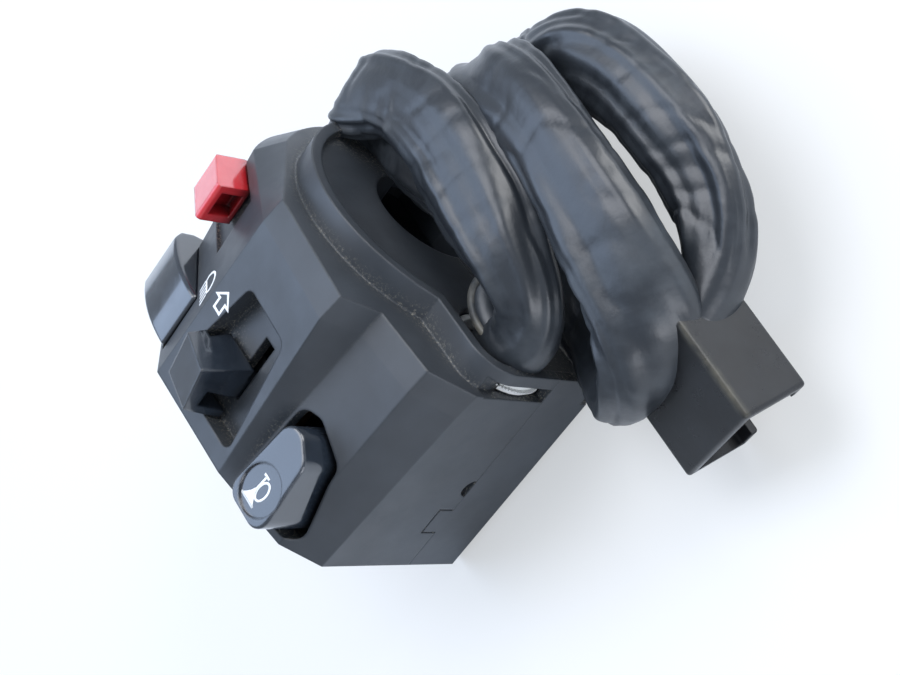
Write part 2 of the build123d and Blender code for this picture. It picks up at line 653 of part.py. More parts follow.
# Dip and pass paddle on its pin, with spring, leaf and board
paddle_outline = ((8.0, 30.4), (8.0, 26.0), (10.5, 22.6), (14.0, 21.8), (18.5, 20.6), (24.8, 17.8),
                  (26.4, 20.4), (26.6, 23.2), (25.4, 25.3))
with BuildPart() as dip_lever:
    with BuildSketch(Plane.YZ.offset(paddle_start)):
        with BuildLine():
            Polyline(*paddle_outline)
            ThreePointArc(paddle_outline[-1], paddle_crest, paddle_outline[0])
        make_face()
    extrude(amount=paddle_end - paddle_start)
    fillet(dip_lever.edges().filter_by(Axis.X).sort_by(Axis.Z)[-2:], edge_round)
    for end in (0, -1):
        fillet(dip_lever.faces().sort_by(Axis.X)[end].edges().sort_by(Axis.Z)[-3:], edge_round)
    with BuildSketch(Plane.YZ.offset(paddle_start)):
        with Locations((paddle_pin_y, paddle_pin_z)):
            Circle(paddle_pin_radius + paddle_bore_clearance)
    extrude(amount=paddle_end - paddle_start, mode=Mode.SUBTRACT)
    with Locations((paddle_x, dip_spring_y, nib_z)):
        Cylinder(dip_spring_radius + gap, dip_spring_top - nib_z, mode=Mode.SUBTRACT,
                 align=(Align.CENTER, Align.CENTER, Align.MIN))
    add(block(paddle_x, nib_y, nib_z, nib_length, nib_width, nib_top - nib_z))

with BuildPart() as dip_lever_pin:
    with BuildSketch(Plane.YZ.offset(pin_hole_start)):
        with Locations((paddle_pin_y, paddle_pin_z)):
            Circle(paddle_pin_radius)
    extrude(amount=pin_hole_end - pin_hole_start - gap)

dip_spring = spring(paddle_x, dip_spring_y, dip_spring_z, dip_spring_top, dip_spring_radius, 4)

with BuildPart() as dip_contact_leaf:
    leaf_foot = dip_base_z + dip_base_thickness
    add(block(paddle_x, (leaf_start + leaf_end) / 2, leaf_foot, leaf_width, leaf_end - leaf_start,
              leaf_thickness))
    add(block(paddle_x, leaf_start + leaf_thickness / 2, leaf_foot, leaf_width, leaf_thickness,
              leaf_height))

with BuildPart() as dip_base:
    add(block(dip_base_x, dip_base_y, dip_base_z, dip_base_length, dip_base_width, dip_base_thickness))

# Harness: sleeve in the mouth with its tie, the coil, and the last length into the connector
with BuildPart() as harness_lead:
    with BuildSketch(Plane.YZ.offset(sleeve_start)):
        with Locations((harness_y, harness_z)):
            Circle(sleeve_radius)
    extrude(amount=coil_start - sleeve_start)

tie_inner = sleeve_radius + tie_clearance
with BuildPart() as harness_tie:
    with BuildSketch(Plane.YZ.offset(tie_x)):
        with Locations((harness_y, harness_z)):
            Circle(tie_inner + tie_thickness)
            Circle(tie_inner, mode=Mode.SUBTRACT)
    extrude(amount=tie_width)
    add(block(tie_x - tie_width / 2, harness_y + tie_inner + 1.7 * tie_thickness, harness_z - tie_width,
              1.3 * tie_width, 2.8 * tie_thickness, 2 * tie_width))

with BuildPart() as harness_coil:
    for inset in (0, coil_wall):
        for x, y, z, half_width, half_height in coil_stations:
            corners = [(y + (half_width - inset) * cos(radians(turned)), z + (half_height - inset) * sin(radians(turned)))
                       for turned in range(0, 360, coil_corner_angle)]
            with BuildSketch(Plane.YZ.offset(x)):
                Polygon(*corners, align=None)
        loft(ruled=True, mode=Mode.SUBTRACT if inset else Mode.ADD)

plug = Plane(plug_origin, x_dir=plug_up, z_dir=plug_axis)
with BuildPart() as harness_tail:
    with BuildSketch(plug):
        with Locations((0, tail_offset)):
            Circle(tail_radius)
    extrude(amount=-tail_length)
    add(harness_coil.part, mode=Mode.SUBTRACT)

with BuildPart() as connector_housing:
    with BuildSketch(plug):
        Rectangle(plug_height, plug_width)
    extrude(amount=plug_length)
    fillet(connector_housing.edges().filter_by(Axis((0, 0, 0), plug_axis)), edge_round)
    with BuildSketch(plug.offset(plug_length - plug_mouth_depth)):
        Rectangle(plug_height - 2 * plug_wall, plug_width - 2 * plug_wall)
    extrude(amount=plug_mouth_depth, mode=Mode.SUBTRACT)

with BuildPart() as connector_terminals:
    with BuildSketch(plug.offset(plug_length - plug_mouth_depth)):
        with GridLocations(terminal_pitch, terminal_pitch, terminal_rows, terminal_columns):
            Circle(terminal_radius)
    extrude(amount=terminal_length)

with BuildPart() as connector_latch:
    with BuildSketch(plug.offset(plug_length + latch_tab_proud - latch_tab_length)):
        with Locations((-(plug_height + latch_tab_height) / 2, latch_tab_offset)):
            Rectangle(latch_tab_height, latch_tab_width)
    extrude(amount=latch_tab_length)

pieces = {
    "front_casing": front_casing.part, "rear_casing": rear_casing.part,
    "casing_screws": casing_screws.part, "hazard_knob": hazard_knob.part,
    "hazard_carriage": hazard_carriage.part, "hazard_contact": hazard_contact.part,
    "hazard_detent_ball": hazard_detent_ball.part, "hazard_detent_spring": hazard_detent_spring,
    "hazard_base": hazard_base.part, "turn_knob": turn_knob.part, "turn_carriage": turn_carriage.part,
    "turn_contact": turn_contact.part, "turn_detent_ball": turn_detent_ball.part,
    "turn_detent_spring": turn_detent_spring, "turn_cancel_spring": turn_cancel_spring,
    "turn_base": turn_base.part, "horn_button": horn_button.part, "horn_spring": horn_spring,
    "horn_contact_bridge": horn_contact_bridge.part, "horn_fixed_contacts": horn_fixed_contacts.part,
    "horn_base": horn_base.part, "dip_lever": dip_lever.part, "dip_lever_pin": dip_lever_pin.part,
    "dip_spring": dip_spring, "dip_contact_leaf": dip_contact_leaf.part, "dip_base": dip_base.part,
    "harness_tie": harness_tie.part, "harness_lead": harness_lead.part,
    "harness_coil": harness_coil.part, "harness_tail": harness_tail.part,
    "connector_housing": connector_housing.part, "connector_terminals": connector_terminals.part,
    "connector_latch": connector_latch.part,
}
for name, piece in pieces.items():
    piece.label = name
    export_step(piece, f"parts/{name}.step")
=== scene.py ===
import json
import math

import bmesh
import bpy
from mathutils import Matrix, Vector, noise


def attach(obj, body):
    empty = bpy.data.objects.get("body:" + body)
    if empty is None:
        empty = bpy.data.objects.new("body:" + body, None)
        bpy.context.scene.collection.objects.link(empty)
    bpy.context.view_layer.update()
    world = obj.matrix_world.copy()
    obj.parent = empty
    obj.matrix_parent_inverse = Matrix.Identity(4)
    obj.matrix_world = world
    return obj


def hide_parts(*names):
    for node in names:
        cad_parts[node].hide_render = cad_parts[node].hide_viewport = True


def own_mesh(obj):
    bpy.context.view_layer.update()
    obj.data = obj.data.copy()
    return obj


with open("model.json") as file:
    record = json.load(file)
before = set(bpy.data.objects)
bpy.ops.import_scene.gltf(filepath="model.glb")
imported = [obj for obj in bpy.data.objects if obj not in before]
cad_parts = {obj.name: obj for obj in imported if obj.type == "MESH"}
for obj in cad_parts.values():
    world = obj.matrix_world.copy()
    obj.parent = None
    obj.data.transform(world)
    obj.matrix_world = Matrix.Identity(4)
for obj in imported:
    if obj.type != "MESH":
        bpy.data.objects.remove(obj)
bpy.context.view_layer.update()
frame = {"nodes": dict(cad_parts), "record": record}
nodes = frame["nodes"]
mm = 0.001


def linearColour(hexText):
    channels = [int(hexText[i:i + 2], 16) / 255 for i in (1, 3, 5)]
    return tuple(c / 12.92 if c <= 0.04045 else ((c + 0.055) / 1.055) ** 2.4 for c in channels) + (1.0,)


def addNode(tree, kind, values=None, links=None, **settings):
    node = tree.nodes.new(kind)
    for name, value in settings.items():
        setattr(node, name, value)
    for socket, value in (values or {}).items():
        node.inputs[socket].default_value = value
    for socket, source in (links or {}).items():
        tree.links.new(source, node.inputs[socket])
    return node


def newMaterial(name, hexText, roughness, **sockets):
    material = bpy.data.materials.new(name)
    material.use_nodes = True
    tree = material.node_tree
    shader = tree.nodes["Principled BSDF"]
    shader.inputs["Base Color"].default_value = linearColour(hexText)
    shader.inputs["Roughness"].default_value = roughness
    for socket, value in sockets.items():
        shader.inputs[socket.replace("_", " ")].default_value = value
    return material, tree, shader


def newObject(name, data):
    made = bpy.data.objects.new(name, data)
    bpy.context.scene.collection.objects.link(made)
    return made


def newPiece(name, vertices, faces, material):
    mesh = bpy.data.meshes.new(name)
    mesh.from_pydata([tuple(v) for v in vertices], [], faces)
    mesh.update()
    mesh.materials.append(material)
    for face in mesh.polygons:
        face.use_smooth = True
    return newObject(name, mesh)


def evaluatedMesh(source):  # the mesh that an object's modifiers make
    depsgraph = bpy.context.evaluated_depsgraph_get()
    depsgraph.update()
    return bpy.data.meshes.new_from_object(source.evaluated_get(depsgraph))


def settle(piece, body, slotName, *stoodFor):
    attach(piece, body)
    if stoodFor:
        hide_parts(*stoodFor)
    return piece


# the photograph's viewpoint
photoCamera = {"place": (0.13705, -0.19849, 0.25695), "right": (0.556, -0.498, -0.665), "lens": 76.92,
               "towards": (0.414, -0.528, 0.741), "shift": -0.0417, "clip": 0.01}


def makeCamera(settings):
    camera = newObject("photoCamera", bpy.data.cameras.new("photoCamera"))
    back = Vector(settings["towards"]).normalized()
    right = Vector(settings["right"])
    right = (right - right.dot(back) * back).normalized()
    up = back.cross(right)
    turn = Matrix((right, up, back)).transposed()
    camera.matrix_world = Matrix.Translation(settings["place"]) @ turn.to_4x4()
    camera.data.lens = settings["lens"]
    camera.data.shift_y = settings["shift"]
    camera.data.clip_start = settings["clip"]
    bpy.context.scene.camera = camera


makeCamera(photoCamera)

# a window to one side, bounced light over and in front, a blue sky behind, a pale table;
# each lamp's name, place, size, power and colour
studio = {"floorColour": "#EDEFF0", "floorHeight": -0.0147, "floorReach": 3.0, "paleShare": 0.5,
          "world": 0.66, "sky": "#D6E1F0",
          "lamps": [("overhead", (0.15, 0.30, 0.75), 0.55, 4.6, "#F6F8FF"),
                    ("window", (0.75, 0.10, 0.30), 0.50, 4.6, "#FFFFFF"),
                    ("front", (0.10, -0.70, 0.30), 0.40, 2.2, "#F4F7FF"),
                    ("sky", (-0.42, 0.48, 0.62), 0.62, 3.8, "#BED4F5")]}


def times(tree, first, second):  # first multiplied by a number or by another output
    node = addNode(tree, "ShaderNodeMath", links={0: first}, operation="MULTIPLY")
    if isinstance(second, float):
        node.inputs[1].default_value = second
    else:
        tree.links.new(second, node.inputs[1])
    return node.outputs[0]


def makeStudio(settings):
    world = bpy.data.worlds.new("studioWorld")
    bpy.context.scene.world = world
    world.use_nodes = True
    background = world.node_tree.nodes["Background"]
    background.inputs["Color"].default_value = linearColour(settings["sky"])
    background.inputs["Strength"].default_value = settings["world"]
    for name, place, size, power, colour in settings["lamps"]:
        lamp = newObject(name, bpy.data.lights.new(name, "AREA"))
        lamp.data.shape = "SQUARE"
        lamp.data.size = size
        lamp.data.energy = power
        lamp.data.color = linearColour(colour)[:3]
        lamp.location = place
        lamp.rotation_euler = (-Vector(place)).to_track_quat("-Z", "Y").to_euler()
    colour, reach = settings["floorColour"], settings["floorReach"]
    corners = [(x * reach, y * reach, settings["floorHeight"]) for x, y in ((-1, -1), (1, -1), (1, 1), (-1, 1))]
    material, tree, shader = newMaterial("matte laminate table", colour, 0.6)
    # half of what the camera sees of the table is its own pale colour, so the shadow stays faint
    pale = addNode(tree, "ShaderNodeEmission", {"Color": linearColour(colour), "Strength": 1.0})
    seen = times(tree, addNode(tree, "ShaderNodeLightPath").outputs["Is Camera Ray"], settings["paleShare"])
    both = addNode(tree, "ShaderNodeMixShader", links={0: seen, 1: shader.outputs[0], 2: pale.outputs[0]})
    tree.links.new(both.outputs[0], tree.nodes["Material Output"].inputs["Surface"])
    newPiece("tableTop", corners, [(0, 1, 2, 3)], material)


makeStudio(studio)
bpy.context.scene.view_settings.view_transform = "Standard"
print("camera and studio made")


def objectPoint(tree):
    return addNode(tree, "ShaderNodeTexCoord").outputs["Object"]


def noiseAt(tree, point, sizeMm, detail, rough):
    return addNode(tree, "ShaderNodeTexNoise", {"Scale": 1 / (sizeMm * mm), "Detail": detail,
                                                "Roughness": rough}, {"Vector": point}).outputs["Fac"]


def span(tree, source, band, to=(0.0, 1.0)):  # the band of the source's values, stretched to other values
    return addNode(tree, "ShaderNodeMapRange", {"From Min": band[0], "From Max": band[1], "To Min": to[0],
                                                "To Max": to[1]}, {"Value": source}).outputs["Result"]


def mottle(tree, point, sizeMm, detail, rough, band, to=(0.0, 1.0)):  # patches of about that size
    return span(tree, noiseAt(tree, point, sizeMm, detail, rough), band, to)


def hollows(tree, reachMm, band):  # 1 deep in a recess, 0 in the open
    shade = addNode(tree, "ShaderNodeAmbientOcclusion", {"Distance": reachMm * mm}, samples=8).outputs["AO"]
    return span(tree, shade, band, (1.0, 0.0))


def mixColour(tree, factor, first, second):
    node = addNode(tree, "ShaderNodeMix", data_type="RGBA")
    tree.links.new(factor, node.inputs["Factor"])
    for socket, colour in (("A", first), ("B", second)):
        target = [s for s in node.inputs if s.name == socket and s.type == "RGBA"][0]
        if isinstance(colour, str):
            target.default_value = linearColour(colour)
        else:
            tree.links.new(colour, target)
    return [s for s in node.outputs if s.type == "RGBA"][0]


def roundedNormal(tree, radiusMm, bumpSource=None, strength=0.0, heightMm=0.0):
    edge = addNode(tree, "ShaderNodeBevel", {"Radius": radiusMm * mm}, samples=6).outputs["Normal"]
    if bumpSource is None:
        return edge
    return addNode(tree, "ShaderNodeBump", {"Strength": strength, "Distance": heightMm * mm},
                   {"Height": bumpSource, "Normal": edge}).outputs["Normal"]


def connect(tree, shader, colour, gloss, normal):
    for source, socket in ((colour, "Base Color"), (gloss, "Roughness"), (normal, "Normal")):
        tree.links.new(source, shader.inputs[socket])


# Glass-filled nylon, moulded in a spark-eroded tool: a fine even grain, soft sheen, paler where handled
def makeCasingPlastic():
    material, tree, shader = newMaterial("glass-filled nylon", "#2F3338", 0.42, Specular_IOR_Level=0.55)
    point = objectPoint(tree)
    colour = mixColour(tree, mottle(tree, point, 16.0, 4.0, 0.6, (0.35, 0.7)), "#2C3035", "#363B41")
    # lint and dust caught in the recesses, seen as pale specks
    crevice = hollows(tree, 6.0, (0.30, 0.72))
    dust = times(tree, times(tree, crevice, mottle(tree, point, 0.5, 4.0, 0.8, (0.54, 0.62))), 0.8)
    colour = mixColour(tree, dust, colour, "#A39E90")
    normal = roundedNormal(tree, 0.6, noiseAt(tree, point, 0.4, 2.0, 0.5), 0.25, 0.03)
    connect(tree, shader, colour, mottle(tree, point, 9.0, 5.0, 0.65, (0.3, 0.7), (0.36, 0.50)), normal)
    return material


# Polished ABS key caps: near-mirror gloss, dulled a little in patches by handling, with painted shade darkening
# the hollows
def makeGlossPlastic(name, baseHex, handledHex, paintedShadeHex):
    material, tree, shader = newMaterial(name, baseHex, 0.12, Specular_IOR_Level=0.8, Coat_Weight=0.6,
                                         Coat_Roughness=0.05)
    point = objectPoint(tree)
    colour = mixColour(tree, mottle(tree, point, 6.0, 5.0, 0.6, (0.4, 0.75)), baseHex, handledHex)
    # painted shade: the colour darkens towards the third colour deep in hollows
    colour = mixColour(tree, hollows(tree, 4.0, (0.25, 0.7)), colour, paintedShadeHex)
    normal = roundedNormal(tree, 0.7, noiseAt(tree, point, 5.0, 2.0, 0.4), 0.15, 0.1)
    connect(tree, shader, colour, mottle(tree, point, 3.0, 6.0, 0.7, (0.35, 0.75), (0.10, 0.28)), normal)
    return material


# Plasticised PVC sleeving over the wires: soft broad sheen, scuffs that run along it
def makeSleeveVinyl():
    material, tree, shader = newMaterial("plasticised PVC sleeving", "#1D2024", 0.38, Specular_IOR_Level=0.6)
    point = objectPoint(tree)
    uv = addNode(tree, "ShaderNodeUVMap", uv_map="sleeveUV").outputs["UV"]
    streaked = addNode(tree, "ShaderNodeMapping", {"Scale": (60.0, 14.0, 1.0)}, {"Vector": uv})
    streak = addNode(tree, "ShaderNodeTexNoise", {"Scale": 1.0, "Detail": 5.0, "Roughness": 0.7},
                     {"Vector": streaked.outputs["Vector"]}).outputs["Fac"]
    bloom = span(tree, times(tree, streak, noiseAt(tree, point, 12.0, 5.0, 0.6)), (0.22, 0.42))
    crinkle = addNode(tree, "ShaderNodeBump", {"Strength": 0.22, "Distance": 0.4 * mm},
                      {"Height": noiseAt(tree, point, 3.2, 4.0, 0.55)})
    connect(tree, shader, mixColour(tree, bloom, "#25292E", "#3A4046"),
            span(tree, bloom, (0.0, 1.0), (0.32, 0.52)), crinkle.outputs["Normal"])
    return material


def nearLine(tree, point, line):  # 1 on the line, 0 at its reach
    away = addNode(tree, "ShaderNodeVectorMath", {1: line["place"]}, {0: point}, operation="SUBTRACT")
    cross = addNode(tree, "ShaderNodeVectorMath", {1: line["direction"]}, {0: away.outputs["Vector"]},
                    operation="CROSS_PRODUCT")
    length = addNode(tree, "ShaderNodeVectorMath", links={0: cross.outputs["Vector"]}, operation="LENGTH")
    return span(tree, length.outputs["Value"], (line["full"] * mm, line["reach"] * mm), (1.0, 0.0))


# Plain mouldings: two near shades in patches, a fine grain, edges rounded by edgeMm, and a painted highlight
# along a given line
def makePlainPlastic(name, baseHex, secondHex, roughness, grainMm, edgeMm, highlightLine=None):
    material, tree, shader = newMaterial(name, baseHex, roughness)
    point = objectPoint(tree)
    colour = mixColour(tree, mottle(tree, point, 7.0, 4.0, 0.6, (0.35, 0.7)), baseHex, secondHex)
    if highlightLine:  # a painted highlight along that edge, in patches
        patches = mottle(tree, point, 9.0, 3.0, 0.6, (0.45, 0.62), (0.0, 0.3))
        # the pale colour of the painted highlight
        colour = mixColour(tree, times(tree, nearLine(tree, point, highlightLine), patches), colour, "#8C8672")
    gloss = mottle(tree, point, 4.0, 4.0, 0.6, (0.3, 0.7), (roughness - 0.06, roughness + 0.1))
    normal = roundedNormal(tree, edgeMm, noiseAt(tree, point, grainMm, 2.0, 0.5), 0.2, 0.03)
    connect(tree, shader, colour, gloss, normal)
    return material


# Bare metal: a plain shine with darker tarnish in small patches
def makeMetal(name, baseHex, secondHex, roughness):
    material, tree, shader = newMaterial(name, baseHex, roughness, Metallic=1.0)
    point = objectPoint(tree)
    colour = mixColour(tree, mottle(tree, point, 2.5, 5.0, 0.6, (0.4, 0.7)), baseHex, secondHex)
    gloss = mottle(tree, point, 0.8, 4.0, 0.6, (0.3, 0.7), (roughness - 0.08, roughness + 0.12))
    connect(tree, shader, colour, gloss, roundedNormal(tree, 0.12))
    return material


# the housing's edge between its two seen faces, where a painted highlight runs, in metres but for full and
# reach, in mm
housingEdge = {"place": (0.03078, -0.06036, 0.01242), "direction": (-0.1622, -0.9569, -0.2411),
               "full": 0.2, "reach": 1.5}
casingPlastic = makeCasingPlastic()
# the last colour of each gloss plastic is the painted shade in its hollows
glossBlack = makeGlossPlastic("polished ABS, black", "#1F252D", "#28303A", "#101216")
redPlastic = makeGlossPlastic("moulded ABS, red", "#C3232B", "#D03A3D", "#5E1116")
sleeveVinyl = makeSleeveVinyl()
# the darkest of the blacks, smooth, with a painted highlight along one edge
connectorPlastic = makePlainPlastic("moulded nylon connector", "#141517", "#1C1E21", 0.30, 0.5, 0.4,
                                    housingEdge)
# dull black, so that the slides don't show in their slots
slideAcetal = makePlainPlastic("black acetal", "#1C1D1F", "#232426", 0.45, 0.5, 0.3)
# brown contact boards
boardPhenolic = makePlainPlastic("phenolic board", "#6A4A2F", "#57391F", 0.5, 0.4, 0.2)
# off-white tie
tieNylon = makePlainPlastic("white nylon tie", "#E3E4E2", "#CFD0CD", 0.4, 0.6, 0.3)
contactBrass = makeMetal("rolled brass", "#C7A04A", "#A98236", 0.28)
zincSteel = makeMetal("zinc-plated steel", "#A3A6A8", "#85888A", 0.34)
# vinyl gone pale and matt where its fold is rubbed
scuffedEdge = makePlainPlastic("scuffed PVC edge", "#33373B", "#77746A", 0.45, 0.8, 0.2)
# flat white of the pictograms
padPaint = makePlainPlastic("white pad-printed ink", "#EDF0F2", "#E2E6E9", 0.5, 0.4, 0.05)

finishes = {"casing_plastic": casingPlastic, "gloss_black": glossBlack, "red_plastic": redPlastic,
            "slide_plastic": slideAcetal, "board_plastic": boardPhenolic, "contact_brass": contactBrass,
            "steel": zincSteel, "white_nylon": tieNylon, "sleeve_vinyl": sleeveVinyl,
            "connector_plastic": connectorPlastic}
for part in frame["record"]["subparts"]:
    node = nodes[part["node"]]
    if node.data.materials:
        node.material_slots[0].material = finishes[part["material_slot"]]
print("materials made")

# the connector: an open-mouthed housing with one wall cut back to a window, and a latch tongue in that
# window; lengths in mm, along up, across and axis. An edge is its radius and its steps, and past is how
# far a cutter stands out of the housing
connector = {"origin": (24.45, -56.5, 1.35), "axis": (-0.1622, -0.9569, -0.2411),
             "up": (-0.5081, -0.1285, 0.8516), "length": 19.0, "width": 23.0, "height": 13.4, "wall": 1.5,
             "mouthDepth": 11.0, "edge": (0.7, 4), "hollowEdge": (0.5, 3), "past": 3.0,
             "windowFrom": -8.0, "windowTo": 6.5, "windowDepth": 8.5, "windowSill": 0.6, "windowEdge": (0.4, 2),
             "tongueFrom": -8.0, "tongueTo": -4.0, "tongueRoot": 9.6, "tongueEnd": 16.4, "tongueOut": 0.5,
             "tongueIn": 0.9, "hookLength": 2.2, "hookOut": 1.4, "hookIn": 0.2, "hookInset": 0.2,
             "hookBack": 0.1, "tongueEdge": (0.25, 3)}


def blockPiece(name, lowest, highest, edge):  # a block between two corners, in the connector's directions
    work = bmesh.new()
    bmesh.ops.create_cube(work, size=1.0)
    for v in work.verts:
        v.co = Vector([along * ((high - low) * mm) + (low + high) / 2 * mm
                       for along, low, high in zip(v.co, lowest, highest)])
    bmesh.ops.bevel(work, geom=list(work.edges), offset=edge[0] * mm, segments=edge[1], profile=0.5,
                    affect="EDGES")
    mesh = bpy.data.meshes.new(name)
    work.to_mesh(mesh)
    work.free()
    return newObject(name, mesh)


def carve(piece, cutter, operation="DIFFERENCE"):
    modifier = piece.modifiers.new("carve", "BOOLEAN")
    modifier.operation = operation
    modifier.solver = "EXACT"
    modifier.object = cutter
    mesh = evaluatedMesh(piece)
    piece.modifiers.clear()
    piece.data = mesh
    bpy.data.objects.remove(cutter)


def placeConnectorPiece(piece, stoodFor):
    axis = Vector(connector["axis"]).normalized()
    up = Vector(connector["up"])
    up = (up - up.dot(axis) * axis).normalized()
    across = axis.cross(up)
    turn = Matrix((up, across, axis)).transposed().to_4x4()
    piece.data.transform(Matrix.Translation(Vector(connector["origin"]) * mm) @ turn)
    piece.data.materials.clear()
    piece.data.materials.append(connectorPlastic)
    for face in piece.data.polygons:
        face.use_smooth = False
    return settle(piece, "casing", "connector_plastic", stoodFor)


def makeConnectorHousing(c):
    tall, wide, long, wall, past = c["height"] / 2, c["width"] / 2, c["length"], c["wall"], c["past"]
    body = blockPiece("connectorHousing", (-tall, -wide, 0), (tall, wide, long), c["edge"])
    carve(body, blockPiece("hollow", (-tall + wall, -wide + wall, long - c["mouthDepth"]),
                           (tall - wall, wide - wall, long + past), c["hollowEdge"]))
    carve(body, blockPiece("window", (-tall - past, c["windowFrom"], long - c["windowDepth"]),
                           (-tall + wall + c["windowSill"], c["windowTo"], long + past), c["windowEdge"]))
    return placeConnectorPiece(body, "connector_housing")


def makeConnectorLatch(c):
    tall, low, high, end = c["height"] / 2, c["tongueFrom"], c["tongueTo"], c["tongueEnd"]
    tongue = blockPiece("connectorLatch", (-tall - c["tongueOut"], low, c["tongueRoot"]),
                        (-tall + c["tongueIn"], high, end), c["tongueEdge"])
    hook = blockPiece("hook", (-tall - c["hookOut"], low + c["hookInset"], end - c["hookLength"]),
                      (-tall + c["hookIn"], high - c["hookInset"], end - c["hookBack"]), c["tongueEdge"])
    carve(tongue, hook, "UNION")
    return placeConnectorPiece(tongue, "connector_latch")


connectorHousing = makeConnectorHousing(connector)
connectorLatch = makeConnectorLatch(connector)
print("connector made")

# the harness sleeve: route points x, y, z, flat width, thickness, then the direction of its width; in mm.
# It is held smooth near its ends and free to crease past freeStart and freeEnd. flatness holds the powers
# of its outline's cosine and sine, and tightBend below is the bend, per metre, that folds it fully
sleeve = {
    "route": [
        (-7, -34.2, 6.2, 13, 12, 0, -1, 0.1), (1, -36.2, 6.4, 12.5, 12, 0, -1, 0),
        (7.6, -38.3, 8.5, 12.5, 9.5, 0.5, -0.8, -0.1), (13.3, -36, 12, 13.5, 9, 0.8, -0.5, -0.2),
        (16.6, -26, 14.5, 19, 9, 0.95, -0.25, -0.1), (19.3, -14, 15.3, 18.5, 9, 1, -0.1, 0),
        (19.8, -2, 14, 17, 9, 1, -0.1, 0), (17, 9.8, 11.8, 16, 9, 1, 0, 0.1),
        (12.5, 18.6, 9.2, 15.3, 8.5, 1, 0, 0.1), (6.6, 24.2, 6.6, 14.6, 8, 1, 0, 0.1),
        (4.6, 24.6, 3, 14.4, 7.5, 1, 0.1, 0.2), (6.4, 18, 2.4, 14.5, 7, 1, 0.2, 0.2),
        (8, 9, 4, 15, 7, 1, 0.2, 0.1), (9.5, -1, 3, 15, 7.5, 1, 0.1, 0),
        (11, -12, -2, 15, 8, 1, 0.1, 0), (12, -26, -5.5, 15, 8.5, 1, 0, 0),
        (11.5, -40, -6.5, 16, 8.5, 1, 0, -0.2), (10.8, -50.5, -4.5, 18, 8.5, 1, 0, -0.4),
        (13.6, -57.4, -0.7, 20, 8.5, 1, 0, -0.5), (19.8, -59.8, 5.6, 19.6, 9, 1, 0, -0.4),
        (26, -57, 10.9, 19.4, 9, 1, 0, -0.3), (30.8, -47.1, 14.2, 18.6, 9, 1, 0, -0.1),
        (33.6, -33.5, 15.5, 17.5, 9, 1, -0.1, 0), (35.2, -19.5, 14.5, 17, 9, 1, -0.15, 0),
        (33.8, -8, 11.8, 16.5, 8.5, 0.9, -0.25, 0.1), (30.4, 0.6, 8.5, 15.5, 8.5, 0.85, -0.35, 0.2),
        (27, 5.6, 4.2, 14.5, 8, 0.8, -0.45, 0.1), (26, 7, -1.5, 14, 8, 0.65, -0.75, 0.1),
        (30, 5.4, -5, 14, 8, 0.4, -0.9, 0), (36, 1.2, -3.4, 14, 8, 0.2, -0.98, 0),
        (41, -4.2, 1.5, 14, 8.5, 0, -1, 0), (45.5, -10.5, 4.5, 15, 8.5, -0.5, -0.85, 0),
        (48.2, -19.5, 5.8, 16, 8.5, -0.9, -0.4, 0), (48.5, -30, 5.8, 16.3, 8.5, -1, -0.1, 0),
        (47.6, -39.5, 4.8, 15.7, 8.5, -1, 0, 0), (45, -47.8, 3.8, 14, 8.5, -1, 0.2, 0),
        (40, -53.6, 3, 13.5, 9, -0.9, 0.5, 0), (34.5, -56.8, 3.4, 12, 9.5, -0.7, 0.7, 0),
        (30.3, -58.5, 4.3, 11, 10, -0.85, 0.3, 0)],
    "around": 72, "step": 16, "closest": 0.25, "diameter": 16.7, "smoothing": 10, "bendWindow": 6,
    "freeStart": (8.0, 22.0), "freeEnd": (4.0, 16.0), "flatness": (0.8, 0.95), "streakWidth": 0.05}
# relief of loose vinyl over a bundle of wires: slow dents, ridges along it, folds across it where it
# bends. A pitch is per mm along the sleeve, a spread is round it, and a depth is in mm
relief = {"dentPitch": 0.05, "dentSpread": 1.1, "dentPlace": 5, "dentDepth": 1.7,
          "ridgePitch": 0.018, "ridgeSpread": 3.2, "ridgePlace": 3, "ridgeDepth": 1.4, "wireDepth": 0.45,
          "wireGain": 1.6, "foldPitch": 0.13, "foldSlant": 0.5, "foldSpread": 0.8, "foldPlace": 3,
          "foldWidth": 0.35, "foldSharp": 1.6, "foldDepth": -3.4, "foldFlat": 0.3, "foldInner": 0.6,
          "creaseDepth": 0.85, "tightBend": 55, "strength": 0.72}


def splineObject(name, points, order):  # a clamped NURBS line through the points' control net, in mm
    data = bpy.data.curves.new(name, "CURVE")
    data.dimensions = "3D"
    spline = data.splines.new("NURBS")
    spline.points.add(len(points) - 1)
    for place, target in zip(points, spline.points):
        target.co = (place[0] * mm, place[1] * mm, place[2] * mm, 1.0)
    spline.order_u = order
    spline.use_endpoint_u = True
    return newObject(name, data), spline


def readRoute(settings):  # the line of the sleeve's route, with each point's share of the route
    carrier, spline = splineObject("sleeveRoute", settings["route"], 3)
    spline.resolution_u = settings["step"]
    line = [v.co.copy() for v in bpy.data.meshes.new_from_object(carrier).vertices]
    bpy.data.objects.remove(carrier)
    count, runs = len(line), len(settings["route"]) - 1
    shares = [i / (count - 1) * runs for i in range(count)]
    kept = [0]
    for i in range(1, count):
        if (line[i] - line[kept[-1]]).length > settings["closest"] * mm:
            kept.append(i)
    return [line[i] for i in kept], [shares[i] for i in kept]


def smoothStep(value, low, high):
    t = min(1.0, max(0.0, (value - low) / (high - low)))
    return t * t * (3 - 2 * t)


